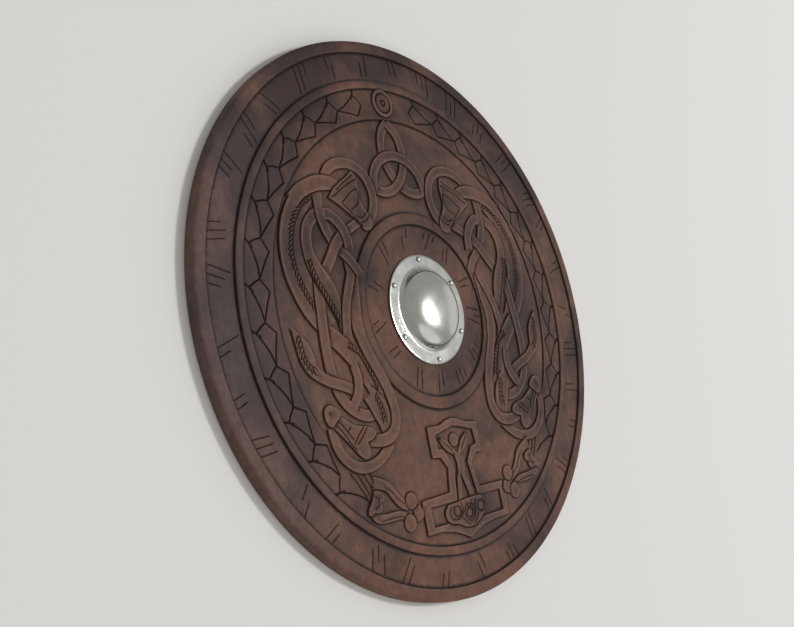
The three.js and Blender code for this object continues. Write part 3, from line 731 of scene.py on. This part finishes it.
def board_object():
    verts, faces, shade_and_stain, edge_highlight = board_mesh()
    work = bmesh.new()
    top = [work.verts.new((x * MM, y * MM, z * MM)) for x, y, z in verts]
    for face in faces:
        if len(set(face)) == 3:
            work.faces.new([top[k] for k in face])
    rim = [v for v in top if v.is_boundary]
    rim.sort(key=lambda v: math.atan2(v.co.y, v.co.x))
    rings = [rim]
    for radius, height in ((RADIUS, 6.0), (RADIUS, 1.2), (RADIUS - 0.5, 0.4), (RADIUS - 1.4, 0.0)):
        ring = []
        for v in rim:
            turn = math.atan2(v.co.y, v.co.x)
            ring.append(work.verts.new((radius * MM * math.cos(turn), radius * MM * math.sin(turn),
                height * MM)))
        rings.append(ring)
    bridge(work, rings)
    work.faces.new(list(reversed(rings[-1])))
    bmesh.ops.recalc_face_normals(work, faces=work.faces)
    for face in work.faces:
        face.smooth = len(face.verts) < 5
    board = finished(work, "board_carved")
    mesh = board.data
    mesh.set_sharp_from_angle(angle=math.radians(SHARP_DEGREES))
    for name, values in (("shade_and_stain", shade_and_stain), ("edge_highlight", edge_highlight)):
        made = mesh.attributes.new(name, "FLOAT", "POINT")
        full = np.zeros(len(mesh.vertices), dtype=np.float32)
        full[:len(values)] = values
        made.data.foreach_set("value", full)
    return board


board = board_object()


def linear(code):
    """A shader colour from an sRGB hex code."""
    channels = [int(code[i:i + 2], 16) / 255 for i in (1, 3, 5)]
    return [c / 12.92 if c <= 0.04045 else ((c + 0.055) / 1.055) ** 2.4 for c in channels] + [1.0]


def node(tree, kind, inputs=(), **settings):
    """A shader node with its settings, and with each input set to a value or linked to a socket."""
    made = tree.nodes.new(kind)
    for key, value in settings.items():
        setattr(made, key, value)
    for key, value in dict(inputs).items():
        if isinstance(value, bpy.types.NodeSocket):
            tree.links.new(value, made.inputs[key])
        else:
            made.inputs[key].default_value = value
    return made


def ramp(tree, factor, stops):
    made = node(tree, "ShaderNodeValToRGB", {"Fac": factor})
    elements = made.color_ramp.elements
    while len(elements) < len(stops):
        elements.new(0.5)
    for element, (place, colour) in zip(elements, stops):
        element.position = place
        element.color = colour if isinstance(colour, list) else [colour] * 3 + [1.0]
    return made.outputs["Color"]


def mix(tree, factor, a, b, how="MIX"):
    return node(tree, "ShaderNodeMix", {0: factor, 6: a, 7: b}, data_type="RGBA",
        blend_type=how).outputs[2]


def noise(tree, place, size_mm, detail=3.0, roughness=0.5):
    return node(tree, "ShaderNodeTexNoise", {"Vector": place, "Scale": 1000 / size_mm,
        "Detail": detail, "Roughness": roughness}).outputs["Fac"]


def new_material(name):
    material = bpy.data.materials.new(name)
    material.use_nodes = True
    tree = material.node_tree
    shader = tree.nodes["Principled BSDF"]
    place = node(tree, "ShaderNodeTexCoord").outputs["Object"]
    return material, tree, shader, place


def product(tree, a, b, operation="MULTIPLY"):
    return node(tree, "ShaderNodeMath", {0: a, 1: b}, operation=operation).outputs["Value"]


def stained_wood():
    material, tree, shader, place = new_material("stained carved wood")
    split = node(tree, "ShaderNodeSeparateXYZ", {"Vector": place})
    shade_and_stain = node(tree, "ShaderNodeAttribute", attribute_name="shade_and_stain").outputs["Fac"]
    edge_highlight = node(tree, "ShaderNodeAttribute", attribute_name="edge_highlight").outputs["Fac"]
    flat = node(tree, "ShaderNodeVectorMath", {0: place, 1: (4, 4, 0)}, operation="MULTIPLY")
    radius = node(tree, "ShaderNodeVectorMath", {0: flat.outputs["Vector"]}, operation="LENGTH")
    # The stain lies darker in the two sunk bands and in clouds; darker towards the top is painted
    # shade.
    band = ramp(tree, radius.outputs["Value"], [(0.3, 0.3), (0.6, 0.5), (0.7, 0.5), (0.72, 0.8),
        (0.81, 0.8), (0.83, 0.4), (0.86, 0.8), (0.94, 0.75), (0.96, 0.45)])
    painted_top_shade = node(tree, "ShaderNodeMapRange", {"Value": split.outputs["Y"], "From Min": -0.25,
        "From Max": 0.25, "To Min": -0.16, "To Max": -0.02}).outputs["Result"]
    clouds_and_top_shade = product(tree, noise(tree, place, 90, 4.0, 0.62), painted_top_shade, "ADD")
    clouds_and_top_shade = product(tree, clouds_and_top_shade, product(tree, band, 0.16), "ADD")
    dark = ramp(tree, clouds_and_top_shade, [(0.4, 0.0), (0.6, 1.0)])
    smoke = ramp(tree, noise(tree, place, 24, 5.0, 0.65), [(0.35, 0.0), (0.7, 1.0)])
    stretched = node(tree, "ShaderNodeMapping", {"Vector": place, "Scale": (1.0, 0.06, 1.0)})
    grain = noise(tree, stretched.outputs["Vector"], 1.6, 4.0, 0.6)
    warm = mix(tree, smoke, linear("#664538"), linear("#835c4a"))
    deep = mix(tree, smoke, linear("#2f211d"), linear("#433230"))
    stained_and_shaded = mix(tree, dark, warm, deep)
    # A bluish painted sheen lies towards the left edge, strongest over the smoky patches.
    left = node(tree, "ShaderNodeMapRange", {"Value": split.outputs["X"], "From Min": -0.235,
        "From Max": -0.12, "To Min": 0.75, "To Max": 0.0}).outputs["Result"]
    sheen_mask = node(tree, "ShaderNodeMapRange", {"Value": smoke, "To Min": 0.35}).outputs["Result"]
    with_painted_sheen = mix(tree, product(tree, left, sheen_mask), stained_and_shaded, linear("#66575a"))
    mottled = mix(tree, ramp(tree, noise(tree, place, 7, 5.0, 0.7), [(0.4, 0.0), (0.65, 0.4)]),
        with_painted_sheen, linear("#3a2f2a"))
    streaked = mix(tree, ramp(tree, grain, [(0.35, 0.0), (0.75, 0.3)]), mottled, linear("#2d1d17"))
    # Painted highlight: the top edges of what stands proud are painted lighter.
    with_edge_highlight = mix(tree, product(tree, edge_highlight, 0.5), streaked, linear("#8d6a5b"))
    # Corners and cuts are painted near-black: shade together with the stain pooled in them.
    recess_shade_and_stain = mix(tree, node(tree, "ShaderNodeMapRange", {"Value": shade_and_stain, "From Min": 0.08,
        "From Max": 0.85}).outputs["Result"], with_edge_highlight, linear("#140b08"))
    tree.links.new(recess_shade_and_stain, shader.inputs["Base Color"])
    rough = node(tree, "ShaderNodeMapRange", {"Value": smoke, "To Min": 0.55, "To Max": 0.7})
    tree.links.new(rough.outputs["Result"], shader.inputs["Roughness"])
    shader.inputs["IOR"].default_value = 1.5
    shader.inputs["Specular IOR Level"].default_value = 0.2
    bumps = product(tree, grain, noise(tree, place, 3.5, 4.0, 0.6), "ADD")
    bump = node(tree, "ShaderNodeBump", {"Height": bumps, "Strength": 0.35, "Distance": 0.0002})
    tree.links.new(bump.outputs["Normal"], shader.inputs["Normal"])
    return material


board.data.materials.append(stained_wood())
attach(board, "root")
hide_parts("board")

# ---- the boss -----------------------------------------------------------------------------------
# A spun dish of polished sheet steel: a flat flange that is nailed down at six places, a short
# steep side with a soft shoulder, and a low crown. It is open underneath, where it lies on the
# board.
SHEET = 1.5
FLANGE_TOP = 12.4
NAIL_CIRCLE = 45.7
BOSS_SEGMENTS = 144
BOSS_SKIN = [
    (50.0, -0.6), (49.85, -0.2), (49.3, 0), (44, 0), (38.8, 0), (37.6, 0.15), (36.7, 0.7),
    (36.0, 1.8), (35.3, 3.4), (34.5, 5.2), (33.5, 6.9), (32.1, 8.3), (30.2, 9.5), (27.5, 10.7),
    (23.5, 11.95), (19, 12.95), (14.5, 13.6), (9.5, 14.0), (4.8, 14.17), (0, 14.2),
]


def boss_object():
    """The dish as the turned skin, with its thickness given by a solidify modifier."""
    painted_top_shade = smooth_line([(r, z, 0) for r, z in BOSS_SKIN[2:]], 1.2)[:, :2]
    skin = [BOSS_SKIN[0], BOSS_SKIN[1]] + [tuple(p) for p in painted_top_shade[:-1]]
    work = bmesh.new()
    rings = []
    for r, z in skin:
        rings.append([work.verts.new((x * MM, y * MM, (FLANGE_TOP + z) * MM))
            for x, y in circle(0, 0, r, BOSS_SEGMENTS)])
    peak = work.verts.new((0, 0, (FLANGE_TOP + BOSS_SKIN[-1][1]) * MM))
    for a, b in zip(rings, rings[1:]):
        for k in range(BOSS_SEGMENTS):
            n = (k + 1) % BOSS_SEGMENTS
            work.faces.new((a[k], a[n], b[n], b[k]))
    for k in range(BOSS_SEGMENTS):
        work.faces.new((rings[-1][k], rings[-1][(k + 1) % BOSS_SEGMENTS], peak))
    for face in work.faces:
        face.smooth = True
    dish = finished(work, "boss_dish")
    bpy.ops.object.select_all(action="DESELECT")
    dish.select_set(True)
    bpy.context.view_layer.objects.active = dish
    shell = dish.modifiers.new("thickness", "SOLIDIFY")
    shell.thickness = SHEET * MM
    shell.offset = -1.0
    bpy.ops.object.modifier_apply(modifier="thickness")
    return dish


def polished_steel(name, colour, roughness):
    material, tree, shader, place = new_material(name)
    shader.inputs["Metallic"].default_value = 1.0
    turned = node(tree, "ShaderNodeVectorMath", {0: place, 1: (1, 1, 0)}, operation="MULTIPLY")
    radius = node(tree, "ShaderNodeVectorMath", {0: turned.outputs["Vector"]}, operation="LENGTH")
    rings = node(tree, "ShaderNodeTexNoise", {"W": radius.outputs["Value"], "Scale": 2500.0,
        "Detail": 3.0}, noise_dimensions="1D").outputs["Fac"]
    smears = noise(tree, place, 14, 4.0, 0.6)
    tint = mix(tree, ramp(tree, smears, [(0.3, 0.0), (0.75, 1.0)]), linear(colour),
        linear("#b9bab3"))
    tree.links.new(tint, shader.inputs["Base Color"])
    rough = node(tree, "ShaderNodeMapRange", {"Value": smears, "From Min": 0.3, "From Max": 0.7,
        "To Min": roughness - 0.04, "To Max": roughness + 0.04})
    tree.links.new(rough.outputs["Result"], shader.inputs["Roughness"])
    bump = node(tree, "ShaderNodeBump", {"Height": rings, "Strength": 0.12, "Distance": 0.00005})
    tree.links.new(bump.outputs["Normal"], shader.inputs["Normal"])
    return material


dish = boss_object()
dish.data.materials.append(polished_steel("spun polished steel", "#c9cac6", 0.2))
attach(dish, "root")
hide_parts("boss")

# ---- the nails ----------------------------------------------------------------------------------
# Six small round-headed nails of duller steel, evenly spaced round the flange. Their shanks go
# down into the wood.
NAIL_COUNT = 6
NAIL_HEAD = 2.6
NAIL_RISE = 1.6
NAIL_SHANK = 1.1
NAIL_DEPTH = 8.2
NAIL_LIFT = 0.3
NAIL_SIDES = 20
nail_steel = polished_steel("nail steel", "#b4b5ae", 0.3)


def nail_object(index):
    x, y = polar(NAIL_CIRCLE, 90 + index * 360 / NAIL_COUNT)
    under = FLANGE_TOP + NAIL_LIFT
    profile = [(NAIL_HEAD * math.cos(t), under + NAIL_RISE * math.sin(t))
        for t in np.linspace(math.pi / 2, 0, 7)][1:]
    profile += [(NAIL_HEAD - 0.1, under), (NAIL_SHANK, under), (NAIL_SHANK * 0.7, under - 5.5),
        (0.05, under - NAIL_DEPTH)]
    work = bmesh.new()
    rings = [[work.verts.new((a * MM, b * MM, z * MM)) for a, b in circle(x, y, r, NAIL_SIDES)]
        for r, z in profile]
    bridge(work, rings)
    work.faces.new(rings[0])
    work.faces.new(list(reversed(rings[-1])))
    bmesh.ops.recalc_face_normals(work, faces=work.faces)
    for face in work.faces:
        face.smooth = True
    return finished(work, "round_nail_%d" % (index + 1))


for index in range(NAIL_COUNT):
    nail = nail_object(index)
    nail.data.materials.append(nail_steel)
    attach(nail, "root")
    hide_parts("nail_%d" % (index + 1))

# ---- floor and light: a pale floor under soft light from the shield's right and foot ------------
floor_mesh = bpy.data.meshes.new("floor")
floor_mesh.from_pydata([(-8, -8, 0), (8, -8, 0), (8, 8, 0), (-8, 8, 0)], [], [(0, 1, 2, 3)])
floor = bpy.data.objects.new("floor", floor_mesh)
bpy.context.scene.collection.objects.link(floor)
floor_material, _, floor_shader, _ = new_material("pale floor")
floor_shader.inputs["Base Color"].default_value = linear("#e6e4e0")
floor_shader.inputs["Roughness"].default_value = 0.8
floor.data.materials.append(floor_material)


def soft_light(name, at, size, power, colour="#ffffff"):
    data = bpy.data.lights.new(name, "AREA")
    data.shape = "DISK"
    data.size = size
    data.energy = power
    data.color = linear(colour)[:3]
    light = bpy.data.objects.new(name, data)
    light.location = at
    light.rotation_euler = (-Vector(at)).to_track_quat("-Z", "Y").to_euler()
    bpy.context.scene.collection.objects.link(light)


soft_light("window", (4.47, 0.16, 6.63), 1.4, 250.0, "#fbfcff")
soft_light("table", (1.39, -5.18, 4.5), 9.0, 110.0)
soft_light("room", (7.76, 0.2, 1.94), 5.0, 22.0)

world = bpy.data.worlds.new("studio")
world.use_nodes = True
background = world.node_tree.nodes["Background"]
background.inputs["Color"].default_value = linear("#f1f0ee")
background.inputs["Strength"].default_value = 0.5
bpy.context.scene.world = world
bpy.context.scene.view_settings.view_transform = "Standard"
